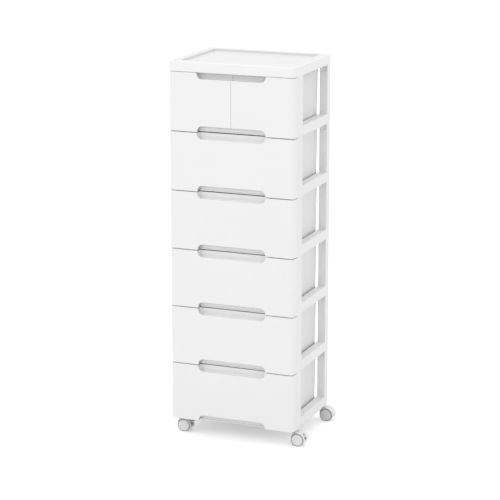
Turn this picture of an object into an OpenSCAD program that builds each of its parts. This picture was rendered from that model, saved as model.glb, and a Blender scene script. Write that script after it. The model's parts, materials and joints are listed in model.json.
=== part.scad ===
// Plastic drawer tower: six stacked tiers with five full-width drawers, two half-width drawers on top,
// a tray-shaped top cover and four twin-wheel casters.
// Origin: on the floor, under the middle of the body. The drawers face -Y and +Z is up. Units are millimetres.

/* [Body] */
// Width of the body across the side frames
body_w = 400; // [370:2:440]
// Depth of the body from the drawer fronts to the rear posts
body_d = 315; // [300:1:360]
// Height of one tier
tier_h = 180; // [170:1:220]
// Height of the top cover
cover_h = 30; // [28:1:36]
// Wall thickness of the frame mouldings
wall = 2.5; // [2.2:0.1:2.8]
// Radius of the front corners, seen from above
front_corner_r = 12; // [8:1:14]
// Radius of the rear corners, seen from above
rear_corner_r = 8; // [5:1:10]

/* [Top cover] */
// Width of the raised rim round the tray
rim_w = 28; // [24:1:34]
// Depth of the tray below the rim
tray_depth = 8; // [5:0.5:9]
// Corner radius of the tray
tray_r = 7; // [4:1:12]

/* [Side frames] */
// Thickness of a side frame
side_t = 25; // [24:1:28]
// Height of the rail under a side window
rail_h = 30; // [28:1:34]
// Distance from the drawer fronts back to the side window
window_front = 70; // [68:1:76]
// Depth of a rear post
rear_post_d = 33; // [30:1:36]
// Diameter of the stacking pegs
peg_d = 7.8; // [7:0.1:7.9]
// Diameter of the sockets that take a peg or a caster stem
socket_d = 8.04; // [8.02:0.01:8.1]

/* [Drawers] */
// Depth of a drawer front from face to rear edge
front_depth = 30; // [28:1:30]
// Thickness of a drawer front's wall
front_t = 2.6; // [2.2:0.1:3]
// Visible gap between two drawer fronts, one above the other
front_gap = 2.5; // [2:0.1:4]
// Visible gap between the two half-width fronts
split_gap = 0.6; // [0.5:0.1:2]
// Thickness of a tub's wall
tub_t = 2; // [1.6:0.1:2.4]
// How far a tub's side leans in from top to bottom
tub_side_draft = 2; // [1:0.5:4]
// How far a tub's back leans in from top to bottom
tub_back_draft = 4; // [2:0.5:10]
// How far a drawer pulls out
drawer_travel = 200; // [180:1:205]

/* [Handles] */
// Width of a handle notch
notch_w = 219; // [180:1:240]
// Depth of the notch in a front's top edge
notch_h = 18.25; // [17.5:0.25:22]
// Height of the arch in a front's bottom edge
arch_h = 18.25; // [17.5:0.25:20]
// Radius of the corners of the notch and the arch
handle_r = 17; // [10:0.5:17]
// Depth of the finger scoop behind the notch
scoop_depth = 18; // [16:1:20]
// How far the scoop's floor lies below the notch
scoop_drop = 7; // [6:1:9]
// Radius of the scoop's rear corners, seen from above
scoop_corner_r = 6; // [3:1:8]

/* [Casters] */
// Height from the floor to the underside of the body
caster_h = 50; // [50:0.5:56]
// Diameter of a wheel
wheel_d = 40; // [36:1:40]
// Width of one wheel
wheel_w = 10; // [9:0.5:12]
// Distance from the stem to the axle
trail = 16; // [14:0.5:18]
// Diameter of the steel stem
stem_d = 7.94; // [7.9:0.01:7.96]
// Diameter of the axle
axle_d = 5; // [4:0.5:5]
// Distance from the drawer fronts to the front stems
front_stem_in = 42; // [41:0.5:46]

/* [Hidden] */
tiers = 6;
$fn = 64;

// Frame: main planes
half_w = body_w / 2;
front_y = -body_d / 2;
back_y = body_d / 2;
side_x = half_w - side_t;
frame_y = front_y + front_depth + 0.5;
window_y = [front_y + window_front, back_y - rear_post_d];
function tier_z(k) = caster_h + tier_h * (k - 1);
cover_z = tier_z(tiers + 1);

// Stacking pegs, sockets and caster stems share these four places
socket_x = half_w - side_t / 2;
socket_y = [front_y + front_stem_in, back_y - rear_post_d / 2];
socket_depth = 28;
socket_boss_d = 14;
peg_h = 12;
cover_socket_depth = 14;
tab_half = 7.5;
tab_drop = 17.5;
tab_t = 2.1;
tab_in = 0.2;
tab_gap = 1;
post_rib_z = [rail_h + 26 : 36 : tier_h - 20];
rail_ribs = 5;

// Shelf: heights above the tier's base
shelf_x = side_x - 0.5;
tongue_x = side_x + 10;
tongue_y = [window_y[0] + 8, window_y[1] - 8];
shelf_top = 15;
shelf_t = 2.5;
shelf_low = 2;
base_low = 0.5;
rib_rise = 2;
stop_low = 1;
runner_h = 1.5;
runner_w = 6;
runner_x = [-150, -27, 27, 150];
runner_y = [front_y + 30, back_y - 10];
bar_y = front_y + 16;
bar_z = [4.5, shelf_top + runner_h];
bead_x = notch_w / 2 - 4;
bead_low = 2.6;
bead_r = 1.5;
rib_t = 1.8;
rib_x = [-140, -70, 0, 70, 140];
rib_y = [-90, -30, 30, 90];
guide_y = [front_y + 32, back_y - 20];
guide_peg_y = [-60, 60];
guide_peg_d = 5;
guide_peg_in = 8;
guide_boss_d = 10;

// Drawers: heights above the tier's base
front_z = [front_gap / 2, tier_h - front_gap / 2];
tub_z = [shelf_top + runner_h + 0.5, tier_h - 5];
tub_y = [frame_y + 0.2, back_y - 28];
tub_half_w = side_x - 3.5;
tub_inner_x = 6;
tub_r = 14;
stop_y = tub_y[1] - tub_t - drawer_travel - 0.5;
tub_rim = 2.7;
tub_rim_t = 2.5;
stop_tab_w = 20;
stop_tab_top = tier_h + 2.5;
hook_w = 14;
hook_t = 3;
hook_z = [60, 128];
hook_x = 140;
inner_hook_x = 40;
stop_tab_x = 105;
seat_rib_x = 125;
scoop_rib_x = 60;
scoop_y = front_y + scoop_depth;
scoop_z = front_z[1] - notch_h - scoop_drop;
scoop_r = 10;
arch_lip = 10;
split_r = 1;

// Casters: places along X and Z from the axle, half widths along Y
wheel_r = wheel_d / 2;
hub_z = wheel_r;
web_half = 6;
web_t = 5;
web_hub_r = 9;
web_angles = [48, 172];
wheel_y = web_half + 0.5;
wheel_face_t = 1.8;
axle_boss_r = 6;
hood_r = wheel_r + 1.1;
hood_t = 2;
hood_y = wheel_y + wheel_w - 0.6;
hood_angles = [-22, 158];
boss_low = 28;
boss_r = 6;
housing_top = caster_h - 2.4;
stem_low = 30;
stem_top = caster_h + socket_depth - 2;
collar_w = 2.6;
collar_r = 10;
collar_z = [housing_top - 5, housing_top - 0.6];
lever_pivot = [9, 12];
lever_eye_r = 4;
lever_pin_r = 2;
lever_half = 5.6;
lever_t = 3;
lever_bar_x = [14.5, 26];
paddle_x = [24.6, 29];
paddle_half = 7.2;
paddle_notch = 2;
slot_half = 6.8;
slot_angles = [2, 50];

POSITIONS = ["front_left", "front_right", "rear_left", "rear_right"];
WHEELS = ["a", "b"];

// ---------- helpers ----------

// Box given by its range along each axis
module block(x, y, z) {
    translate([x[0], y[0], z[0]]) cube([x[1] - x[0], y[1] - y[0], z[1] - z[0]]);
}

// Rectangle given by its range along each axis
module rect(x, y) {
    translate([x[0], y[0]]) square([x[1] - x[0], y[1] - y[0]]);
}

// Extrudes a profile drawn in Y and Z along X
module along_x(x) {
    translate([x[0], 0, 0]) rotate([90, 0, 90]) linear_extrude(x[1] - x[0]) children();
}

// Extrudes a profile drawn in X and Z along Y
module along_y(y) {
    translate([0, y[1], 0]) rotate([90, 0, 0]) linear_extrude(y[1] - y[0]) children();
}

// Rectangle whose corners have their own radii: [low x low y, high x low y, high x high y, low x high y]
module rounded_rect(x, y, radii) {
    corners = [[x[0], y[0]], [x[1], y[0]], [x[1], y[1]], [x[0], y[1]]];
    difference() {
        rect(x, y);
        for (i = [0:3]) {
            r = radii[i];
            if (r > 0) {
                translate(corners[i]) rotate(90 * i) difference() {
                    translate([-1, -1]) square(r + 1);
                    translate([r, r]) circle(r);
                }
            }
        }
    }
}

// Outline of the body seen from above, drawn in by an inset
module body_outline(inset = 0) {
    rf = front_corner_r - inset;
    rr = rear_corner_r - inset;
    x = half_w - inset;
    rounded_rect([-x, x], [front_y + inset, back_y - inset], [rf, rf, rr, rr]);
}

// Round-ended tongue that hangs from the joint between two tiers, or its slot when grown
module tab_outline(top, grow = 0) {
    half = tab_half + grow;
    corner_r = half - 0.5;
    rounded_rect([socket_x - half, socket_x + half], [-tab_drop - grow, top], [corner_r, corner_r, 0, 0]);
}

// Tongues that lie flush in the window faces of the posts below
module locating_tabs() {
    for (y = [window_y[0] - tab_in - tab_t, window_y[1] + tab_in]) {
        along_y([y, y + tab_t]) tab_outline(wall / 2);
    }
}

// Slots in the posts' window faces for the tongues of the tier above
module tab_slots() {
    for (y = [window_y[0] - wall - 1, window_y[1] - 1]) {
        translate([0, 0, tier_h]) along_y([y, y + wall + 2]) tab_outline(1, tab_gap);
    }
}

module at_tier(k) {
    translate([0, 0, tier_z(k)]) children();
}

// ---------- frame ----------

// Right side frame: a channel open to the inside, with a rail below and a post at each end
module side_frame(k) {
    posts = [[frame_y, window_y[0]], [window_y[1], back_y]];
    hollow_x = [side_x - 1, half_w - wall];
    rail_rib_step = (window_y[1] - window_y[0]) / rail_ribs;
    color("white") at_tier(k) difference() {
        union() {
            difference() {
                intersection() {
                    along_x([side_x, half_w]) difference() {
                        rect([frame_y, back_y], [0, tier_h]);
                        rect(window_y, [rail_h, tier_h + 1]);
                    }
                    linear_extrude(tier_h) body_outline();
                }
                intersection() {
                    union() {
                        block(hollow_x, [frame_y + wall, back_y - wall], [wall, rail_h - wall]);
                        for (y = posts) {
                            block(hollow_x, [y[0] + wall, y[1] - wall], [wall, tier_h - wall]);
                        }
                    }
                    linear_extrude(tier_h) body_outline(wall);
                }
            }
            for (y = posts, z = post_rib_z) {
                block([side_x + 1, half_w - wall / 2], [y[0] + wall / 2, y[1] - wall / 2], [z, z + rib_t]);
            }
            for (i = [0:rail_ribs]) {
                y = window_y[0] + rail_rib_step * i;
                block([tongue_x + 0.5, half_w - wall / 2], [y - rib_t / 2, y + rib_t / 2],
                      [wall / 2, rail_h - wall / 2]);
            }
            for (y = socket_y) {
                translate([socket_x, y, wall / 2]) cylinder(d = socket_boss_d, h = socket_depth + 1);
                translate([socket_x, y, tier_h - wall / 2]) stacking_peg();
            }
            if (k > 1) locating_tabs();
        }
        tab_slots();
        for (y = socket_y) {
            translate([socket_x, y, -1]) cylinder(d = socket_d, h = socket_depth + 1);
        }
    }
}

module stacking_peg() {
    chamfer = 1.5;
    cylinder(d = peg_d, h = peg_h + wall / 2 - chamfer);
    translate([0, 0, peg_h + wall / 2 - chamfer]) cylinder(d1 = peg_d, d2 = peg_d - 2 * chamfer, h = chamfer);
}

module side_frame_right(k) {
    side_frame(k);
}

module side_frame_left(k) {
    mirror([1, 0, 0]) side_frame(k);
}

// Ribs under a board, with the stop that a drawer's rear tabs meet
module underside_ribs(z_low, z_board, y, x = shelf_x) {
    for (rx = rib_x) {
        block([rx - rib_t / 2, rx + rib_t / 2], y, [z_low, z_board]);
    }
    for (ry = rib_y) {
        block([-x, x], [ry - rib_t / 2, ry + rib_t / 2], [z_low + rib_rise, z_board]);
    }
    block([-x, x], [stop_y - wall, stop_y], [stop_low, z_board]);
}

// Board between two tiers with tongues for the side rails, runners, ribs and a front bar
module shelf_board(low) {
    y = [bar_y, back_y - 3];
    embed = shelf_top - shelf_t / 2;
    difference() {
        union() {
            block([-shelf_x, shelf_x], y, [shelf_top - shelf_t, shelf_top]);
            block([-tongue_x, tongue_x], tongue_y, [shelf_top - shelf_t, shelf_top]);
            block([-shelf_x, shelf_x], [y[1] - wall, y[1]], [low, embed]);
            for (x = [-shelf_x, shelf_x - wall]) {
                block([x, x + wall], [y[0] + 1, y[1]], [low, embed]);
            }
            for (x = runner_x) {
                block([x - runner_w / 2, x + runner_w / 2], runner_y, [embed, shelf_top + runner_h]);
            }
            underside_ribs(low, embed, [y[0] + 1, y[1] - 1]);
        }
        block([-half_w, half_w], [front_y, frame_y], [-1, bar_z[0]]);
    }
    front_bar();
}

// Front bar seen through the arches: a plain face across the shelf and a bead under it between the returns
module front_bar() {
    bead_z = [bead_low, bead_low + 2 * bead_r];
    along_x([-shelf_x, shelf_x]) rect([bar_y, bar_y + wall], bar_z);
    along_x([-bead_x, bead_x]) {
        rect([bar_y - bead_r, bar_y + wall], bead_z);
        translate([bar_y - bead_r, bead_low + bead_r]) circle(bead_r);
    }
}

module shelf(k) {
    color("white") at_tier(k) difference() {
        union() {
            shelf_board(shelf_low);
            if (k == tiers) {
                for (y = guide_peg_y) {
                    translate([0, y, shelf_low])
                        cylinder(d = guide_boss_d, h = shelf_top - shelf_t / 2 - shelf_low);
                }
            }
        }
        if (k == tiers) {
            for (y = guide_peg_y) {
                translate([0, y, -1]) cylinder(d = guide_peg_d + 0.1, h = shelf_top + 2);
            }
        }
    }
}

module base_frame() {
    color("white") at_tier(1) shelf_board(base_low);
}

// Guide between the two half-width drawers: a foot on the shelf, an upright fin and two pegs
module centre_guide() {
    foot = 7;
    fin = 2;
    fin_top = 46;
    color("white") at_tier(tiers) {
        along_y(guide_y) {
            rect([-foot, foot], [shelf_top, shelf_top + wall]);
            rect([-fin, fin], [shelf_top, fin_top]);
            translate([0, fin_top]) circle(fin);
        }
        for (y = guide_peg_y) {
            translate([0, y, shelf_top - guide_peg_in]) cylinder(d = guide_peg_d, h = guide_peg_in + 1);
        }
    }
}

// Top cover: a hollow tray with a flat rim
module top_cover() {
    board_z = [cover_h - tray_depth - wall, cover_h - tray_depth];
    tray_x = half_w - rim_w;
    tray_y = [front_y + rim_w, back_y - rim_w];
    tray_radii = [tray_r, tray_r, tray_r, tray_r];
    tray_wall_radii = [for (r = tray_radii) r + wall];
    color("white") translate([0, 0, cover_z]) difference() {
        union() {
            difference() {
                linear_extrude(cover_h) body_outline();
                translate([0, 0, board_z[1]]) linear_extrude(cover_h)
                    rounded_rect([-tray_x, tray_x], tray_y, tray_radii);
                translate([0, 0, -1]) linear_extrude(board_z[0] + 1) body_outline(wall);
                translate([0, 0, board_z[0] - 1]) linear_extrude(cover_h - wall - board_z[0] + 1) difference() {
                    body_outline(wall);
                    rounded_rect([-tray_x - wall, tray_x + wall],
                                 [tray_y[0] - wall, tray_y[1] + wall], tray_wall_radii);
                }
            }
            underside_ribs(shelf_low, board_z[0] + wall / 2, [front_y + wall / 2, back_y - wall / 2], tray_x);
            for (sx = [-1, 1], y = socket_y) {
                translate([sx * socket_x, y, 0]) cylinder(d = socket_boss_d, h = cover_h - wall / 2);
            }
            for (m = [0, 1]) {
                mirror([m, 0, 0]) {
                    locating_tabs();
                    for (y = [window_y[0] - wall, window_y[1]]) {
                        block([tray_x + wall / 2, half_w - wall / 2], [y, y + wall], [0, cover_h - wall / 2]);
                    }
                }
            }
        }
        for (sx = [-1, 1], y = socket_y) {
            translate([sx * socket_x, y, -1]) cylinder(d = socket_d, h = cover_socket_depth + 1);
        }
    }
}

// ---------- drawers ----------

// Plan of a tub at one height: drawn in by the lean of its sides and its back
module tub_plan(x, lean, inset = 0) {
    side = lean * tub_side_draft + inset;
    r = tub_r - inset;
    rounded_rect([x[0] + side, x[1] - side], [tub_y[0] + inset, tub_y[1] - lean * tub_back_draft - inset],
                 [r, r, r, r]);
}

// Block with leaning sides, from the tub's plan low down to its plan at the rim
module leaning_block(x, z, inset) {
    slice = 0.02;
    lean = (tub_z[1] - z[0]) / (tub_z[1] - tub_z[0]);
    hull() {
        translate([0, 0, z[0]]) linear_extrude(slice) tub_plan(x, lean, inset, $fn = 40);
        translate([0, 0, z[1] - slice]) linear_extrude(slice) tub_plan(x, 0, inset, $fn = 40);
    }
}

module drawer_tub(k, x, hook_at, tab_at) {
    color([0.93, 0.94, 0.95]) at_tier(k) difference() {
        union() {
            leaning_block(x, tub_z, 0);
            translate([0, 0, tub_z[1] - tub_rim_t]) linear_extrude(tub_rim_t) tub_plan(x, 0, -tub_rim);
            for (tx = tab_at) {
                block([tx - stop_tab_w / 2, tx + stop_tab_w / 2], [tub_y[1] - tub_t, tub_y[1] + 0.5],
                      [tub_z[1] - 10, stop_tab_top]);
            }
        }
        leaning_block(x, [tub_z[0] + tub_t, tub_z[1] + 0.5], tub_t);
        for (hx = hook_at, z = hook_z) {
            block([hx - hook_w / 2 - 1, hx + hook_w / 2 + 1], [tub_y[0] - 1, tub_y[0] + tub_t + 1],
                  [z - 3, z + hook_t + 1]);
        }
    }
}

// Outline of the handle notch in a front's top edge
module notch_outline() {
    half = notch_w / 2;
    rounded_rect([-half, half], [front_z[1] - notch_h, front_z[1] + 10], [handle_r, handle_r, 0, 0]);
}

// Outline of the arch in a front's bottom edge
module arch_outline(extra = 0) {
    half = notch_w / 2 + extra;
    rounded_rect([-half, half], [front_z[0] - 10, front_z[0] + arch_h + extra],
                 [0, 0, handle_r + extra, handle_r + extra]);
}

// Hollow of the finger scoop, rounded at its floor and at its rear corners, and grown by a wall
module scoop(x, corner_r, grow = 0) {
    y = [front_y + front_t - grow, scoop_y + grow];
    top = front_z[1] + (grow > 0 ? 0 : 1);
    intersection() {
        along_x([x[0] - grow, x[1] + grow])
            rounded_rect(y, [scoop_z - grow, top], [0, scoop_r + grow, 0, 0]);
        linear_extrude(tier_h)
            rounded_rect([x[0] - grow, x[1] + grow], y, [0, 0, corner_r[1] + grow, corner_r[0] + grow]);
    }
}

// Moulded front: a shallow shell with returns, a finger scoop, an arch lip, seat ribs and snap hooks.
// The scoop of a half front is open at the split, so that both halves make one handle.
module drawer_front(k, x, radii, scoop_corners, hook_at, rib_at, low_rib_at) {
    shell_y = [front_y, front_y + front_depth];
    seat_y = tub_y[0] - 0.1;
    rib_top = tub_z[1] - tub_rim_t - 2;
    scoop_x = [max(x[0] - 1, -notch_w / 2), min(x[1] - front_t, notch_w / 2)];
    lip_x = [max(x[0], -notch_w / 2 - 20), min(x[1], notch_w / 2 + 20)];
    color("white") at_tier(k) difference() {
        union() {
            difference() {
                translate([0, 0, front_z[0]]) linear_extrude(front_z[1] - front_z[0])
                    rounded_rect(x, shell_y, [radii[0], radii[1], 0, 0]);
                translate([0, 0, front_z[0] + front_t]) linear_extrude(front_z[1] - front_z[0] - 2 * front_t)
                    rounded_rect([x[0] + front_t, x[1] - front_t], [shell_y[0] + front_t, shell_y[1] + 1],
                                 [max(radii[0] - front_t, 0.5), max(radii[1] - front_t, 0.5), 0, 0]);
            }
            intersection() {
                scoop(scoop_x, scoop_corners, front_t - 0.2);
                block(x, shell_y, [0, front_z[1]]);
            }
            intersection() {
                along_y([front_y + 1, front_y + arch_lip]) arch_outline(front_t - 0.4);
                block(lip_x, shell_y, [front_z[0], tier_h / 2]);
            }
            for (rx = rib_at) {
                block([rx - rib_t / 2, rx + rib_t / 2], [front_y + 1, seat_y], [tub_z[0] + 4, rib_top]);
            }
            for (rx = low_rib_at) {
                block([rx - rib_t / 2, rx + rib_t / 2], [front_y + 1, seat_y], [tub_z[0] + 4, scoop_z - 1]);
            }
            for (hx = hook_at, z = hook_z) {
                snap_hook(hx, z);
            }
        }
        scoop(scoop_x, scoop_corners);
        intersection() {
            along_y([front_y - 1, front_y + front_t + 1]) notch_outline();
            block([x[0] - 1, x[1] + 1], [front_y - 1, front_y + front_t + 1], [0, tier_h]);
        }
        along_y([front_y - 1, shell_y[1] + 1]) arch_outline();
    }
}

// Hook that passes through a slot in the tub's front wall and catches behind it
module snap_hook(x, z) {
    barb = 1.6;
    tip_y = tub_y[0] + tub_t + 4.5;
    along_x([x - hook_w / 2, x + hook_w / 2]) polygon([
        [front_y + 1, z], [tub_y[0] + tub_t + 0.3, z], [tub_y[0] + tub_t + 0.3, z - barb],
        [tip_y, z + hook_t - 1], [tip_y, z + hook_t], [front_y + 1, z + hook_t]
    ]);
}

module full_tub(k) {
    drawer_tub(k, [-tub_half_w, tub_half_w], [-hook_x, hook_x], [-stop_tab_x, stop_tab_x]);
}

module full_front(k) {
    drawer_front(k, [-half_w, half_w], [front_corner_r, front_corner_r], [scoop_corner_r, scoop_corner_r],
                 [-hook_x, hook_x], [-seat_rib_x, seat_rib_x], [-scoop_rib_x, 0, scoop_rib_x]);
}

module half_tub_right() {
    middle = (tub_inner_x + tub_half_w) / 2;
    drawer_tub(tiers, [tub_inner_x, tub_half_w], [inner_hook_x, hook_x], [middle]);
}

module half_front_right() {
    drawer_front(tiers, [split_gap / 2, half_w], [split_r, front_corner_r], [split_r, scoop_corner_r],
                 [inner_hook_x, hook_x], [seat_rib_x], [scoop_rib_x]);
}

// ---------- casters ----------

// Places a part at the stem of one caster: 0 front left, 1 front right, 2 rear left, 3 rear right
module at_caster(i) {
    translate([socket_x * (i % 2 == 0 ? -1 : 1), socket_y[i < 2 ? 0 : 1], 0]) children();
}

// Profile drawn about the axle, seen from the front
module at_axle(y) {
    translate([trail, 0, hub_z]) along_y(y) children();
}

// Wedge of a circle between two angles, counted up from +X
module sector(a, r) {
    reach = 2 * r;
    middle = (a[0] + a[1]) / 2;
    polygon([
        [0, 0], reach * [cos(a[0]), sin(a[0])], reach * [cos(middle), sin(middle)],
        reach * [cos(a[1]), sin(a[1])]
    ]);
}

// Steel pin with a snap groove, and a collar that the body stands on
module caster_stem(i) {
    groove_z = [40, 41.6];
    groove_in = 0.7;
    chamfer = 1.2;
    r = stem_d / 2;
    color("lightgray") at_caster(i) rotate_extrude() polygon([
        [0, stem_low], [r - chamfer / 2, stem_low], [r, stem_low + chamfer / 2],
        [r, groove_z[0]], [r - groove_in, groove_z[0]], [r - groove_in, groove_z[1]], [r, groove_z[1]],
        [r, housing_top + 0.3], [r + collar_w, housing_top + 0.3], [r + collar_w, caster_h], [r, caster_h],
        [r, stem_top - chamfer], [r - chamfer, stem_top], [0, stem_top]
    ]);
}

// Hood over both wheels, middle web, stem boss and axle boss
module caster_housing(i, braked) {
    color("gainsboro") at_caster(i) difference() {
        union() {
            translate([0, 0, boss_low]) cylinder(r = boss_r, h = housing_top - boss_low);
            translate([0, 0, collar_z[0]]) cylinder(r = collar_r, h = collar_z[1] - collar_z[0]);
            at_axle([-web_half, web_half]) circle(axle_boss_r);
            at_axle([-web_t / 2, web_t / 2]) {
                intersection() {
                    circle(hood_r + hood_t / 2);
                    sector(web_angles, wheel_r);
                }
                circle(web_hub_r);
                translate(lever_pivot) circle(lever_eye_r);
            }
            at_axle([-hood_y, hood_y]) intersection() {
                difference() {
                    circle(hood_r + hood_t);
                    circle(hood_r);
                }
                sector(hood_angles, wheel_r);
            }
        }
        translate([0, 0, stem_low - 0.6]) cylinder(d = stem_d + 0.12, h = caster_h);
        at_axle([-web_half - 1, web_half + 1]) circle(d = axle_d + 0.04);
        if (braked) {
            at_axle([-slot_half, slot_half]) intersection() {
                difference() {
                    circle(hood_r + hood_t + 1);
                    circle(hood_r - 3);
                }
                sector(slot_angles, wheel_r);
            }
        }
    }
    if (braked) {
        color("gainsboro") at_caster(i) at_axle([-lever_half, lever_half])
            translate(lever_pivot) circle(lever_pin_r);
    }
}

module caster_axle(i) {
    half = wheel_y + wheel_w - wheel_face_t - 0.3;
    color("silver") at_caster(i) at_axle([-half, half]) circle(d = axle_d);
}

// One wheel about the Z axis: crowned cap and tread below, with a groove between them, and a dished back
module wheel() {
    cap_r = wheel_r - 2.8;
    groove = [0.7, 1.1];
    hub_r = 5;
    bore_r = axle_d / 2 + 0.05;
    rotate_extrude() polygon([
        [0, -0.6], [cap_r / 2, -0.5], [cap_r * 0.75, -0.2], [cap_r, 0.4],
        [cap_r, groove[1]], [cap_r + groove[0], groove[1]], [cap_r + groove[0], 0.2],
        [wheel_r - 1.1, 0.2], [wheel_r - 0.3, 0.7], [wheel_r, 1.6],
        [wheel_r, wheel_w - 0.9], [wheel_r - 0.9, wheel_w], [cap_r, wheel_w],
        [cap_r - 0.4, wheel_face_t + 1], [hub_r, wheel_face_t + 0.6],
        [hub_r, wheel_w - 0.2], [bore_r, wheel_w - 0.2], [bore_r, wheel_face_t], [0, wheel_face_t]
    ]);
}

module caster_wheel(i, w) {
    side = w == "a" ? 1 : -1;
    color("gainsboro") at_caster(i) translate([trail, -side * (wheel_y + wheel_w), hub_z])
        rotate([side * -90, 0, 0]) wheel();
}

// Brake lever: a fork on the pivot pin and a notched paddle that reaches out through the hood
module brake_lever(i) {
    p = lever_pivot;
    arm_y = [web_t / 2 + 0.3, lever_half];
    bar_z = [p[1] - lever_t / 2, p[1] + lever_t / 2];
    color("gainsboro") at_caster(i) difference() {
        union() {
            for (y = [arm_y, [-arm_y[1], -arm_y[0]]]) {
                at_axle(y) {
                    translate(p) circle(lever_eye_r);
                    rect([p[0], lever_bar_x[0] + 1], bar_z);
                }
            }
            at_axle([-lever_half, lever_half]) rect(lever_bar_x, bar_z);
            at_axle([-paddle_half, paddle_half]) {
                rect(paddle_x, bar_z);
                translate([paddle_x[1], p[1]]) circle(lever_t / 2);
            }
        }
        at_axle([-lever_half - 1, lever_half + 1]) translate(p) circle(lever_pin_r + 0.05);
        at_axle([-paddle_notch, paddle_notch]) rect([paddle_x[0] + 1.9, paddle_x[1] + 2], [p[1] - 2, p[1] + 2]);
    }
}

// ---------- assembly ----------

top_cover();
centre_guide();
base_frame();
for (k = [2:tiers]) {
    shelf(k);
}
for (k = [1:tiers]) {
    side_frame_left(k);
    side_frame_right(k);
}
for (k = [1:tiers - 1]) {
    full_tub(k);
    full_front(k);
}
mirror([1, 0, 0]) half_tub_right();  // drawer_tub_top_left
half_tub_right();  // drawer_tub_top_right
mirror([1, 0, 0]) half_front_right();  // drawer_front_top_left
half_front_right();  // drawer_front_top_right
for (i = [0:3]) {
    caster_stem(i);
    caster_housing(i, i < 2);
    caster_axle(i);
    for (w = WHEELS) {
        caster_wheel(i, w);
    }
}
brake_lever(0);  // brake_lever_front_left
brake_lever(1);  // brake_lever_front_right
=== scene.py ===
"""Plastic drawer tower: the looks of its mouldings, casters and pins, round a fixed frame.

Every piece stands for one solid of the frame, at the same place and on the same body, except
the rings that ejector pins leave in the tubs, which are pieces of their own. Mouldings are
merged copies of the solids with their sharp edges rounded; wheels, stems and axles are turned.
"""

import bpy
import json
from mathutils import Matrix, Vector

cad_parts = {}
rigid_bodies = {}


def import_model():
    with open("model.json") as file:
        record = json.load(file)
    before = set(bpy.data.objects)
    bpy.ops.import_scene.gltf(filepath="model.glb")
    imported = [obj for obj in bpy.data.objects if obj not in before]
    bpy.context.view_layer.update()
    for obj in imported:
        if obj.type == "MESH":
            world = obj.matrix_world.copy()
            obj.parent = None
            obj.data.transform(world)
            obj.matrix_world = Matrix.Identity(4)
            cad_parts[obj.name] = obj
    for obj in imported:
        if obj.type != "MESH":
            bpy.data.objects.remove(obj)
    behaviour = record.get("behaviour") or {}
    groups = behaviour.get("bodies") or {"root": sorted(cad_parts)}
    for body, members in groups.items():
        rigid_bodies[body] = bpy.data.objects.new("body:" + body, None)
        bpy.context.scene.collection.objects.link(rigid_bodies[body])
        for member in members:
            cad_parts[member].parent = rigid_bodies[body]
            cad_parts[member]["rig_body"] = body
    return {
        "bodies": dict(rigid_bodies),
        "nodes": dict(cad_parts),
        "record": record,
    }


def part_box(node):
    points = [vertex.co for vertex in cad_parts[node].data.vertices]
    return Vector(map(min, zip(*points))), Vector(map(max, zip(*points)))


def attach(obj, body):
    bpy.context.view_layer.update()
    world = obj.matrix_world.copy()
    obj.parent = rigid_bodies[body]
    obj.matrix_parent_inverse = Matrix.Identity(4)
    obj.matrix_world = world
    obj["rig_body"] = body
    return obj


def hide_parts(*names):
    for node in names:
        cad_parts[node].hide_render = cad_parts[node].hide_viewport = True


bl_info = {
    "name": "Plastic Drawer Tower",
    "version": (1, 0, 0),
    "blender": (4, 5, 0),
    "location": "3D View > Sidebar > Drawer Tower",
    "description": "Dresses the fixed frame of a six-tier drawer tower on casters",
    "category": "Object",
}

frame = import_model()

import json
import math

import bmesh
import bpy
from bpy.props import FloatProperty, FloatVectorProperty, IntProperty, PointerProperty
from mathutils import Matrix, Vector

NODES = frame["nodes"]
POSITIONS = ("front_left", "front_right", "rear_left", "rear_right")
MM = 0.001
MERGE = 0.004 * MM          # corners of a solid that are closer than this are one corner
SEAM = 0.002 * MM           # points of a turned piece that are closer than this are one point
LEVEL = 0.1 * MM            # an edge is level where its ends lie within this of one height
FLAT = math.radians(0.6)    # faces that turn less than this are one face
SHARP = math.radians(32)    # edges that turn more than this are rounded
BLUNT = math.radians(12)    # corners of a half section that turn less than this stay as they are
FACE_WEIGHT = 75            # how much a large face outweighs a small one in the shading of edges
SPLIT_CORNER = 1.02 * MM    # reach of the radius on the upright edges beside the split
RIB_TIP = 1.25 * MM         # how far the ribs' square tips lie inside a post's two outer faces
NEAR = 0.01 * MM            # a corner is taken for a rib's tip within this
RECESS_FADE = 1.5 * MM      # height over which the painted shade on the tray walls fades in from the floor
RIM_FADE = 0.6              # share of the rim's radius over which that painted shade fades out again
RIM_HIGHLIGHT_TILT = (0.2, 0.97)      # upward share of the normals along the rim's outer radius, where the highlight is painted
REACH = 10 * MM             # radius of the circle along which a half section is swept
SIDE_SHARE = 0.45           # share of a side that the radius at its end may take
LEAST_CUT = 0.02 * MM       # a corner of a half section with less room for a radius stays as it is
PLASTIC_IOR = 1.49
NOISE_RANGE = (0.3, 0.7)    # a noise texture mostly stays between these
PEEL_SCALE = 0.12           # scale of the orange peel, as a share of the grain's
TONES = 0.85                # darkest zinc, as a share of the steel's colour
MARK_SPREAD = 0.62          # share of a tub's floor over which the ejector marks are spread
FLOOR_REACH = 60            # half the floor's side in metres
LAMPS = (                   # setting of the power, place, and width in metres
    ("key", Vector((-1.4, -4.4, 3.4)), 3.0),
    ("side", Vector((3.4, 1.0, 2.3)), 2.8),
    ("top", Vector((0.2, -2.2, 3.4)), 0.9),
)
AIM = Vector((0, 0, 0.6))   # point that the lamps face
CAMERA_PLACE = (2.1627, -5.3889, 2.0008)
CAMERA_RANGE = (0.1, 200)   # metres between which the camera sees
SENSOR_WIDTH = 36           # millimetres


# ---------- settings ----------

def length(name, description, default, low, high):
    return FloatProperty(name=name, description=description, default=default, min=low, max=high,
                         unit="LENGTH", precision=4)


def count(name, description, default, low, high):
    return IntProperty(name=name, description=description, default=default, min=low, max=high)


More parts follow.
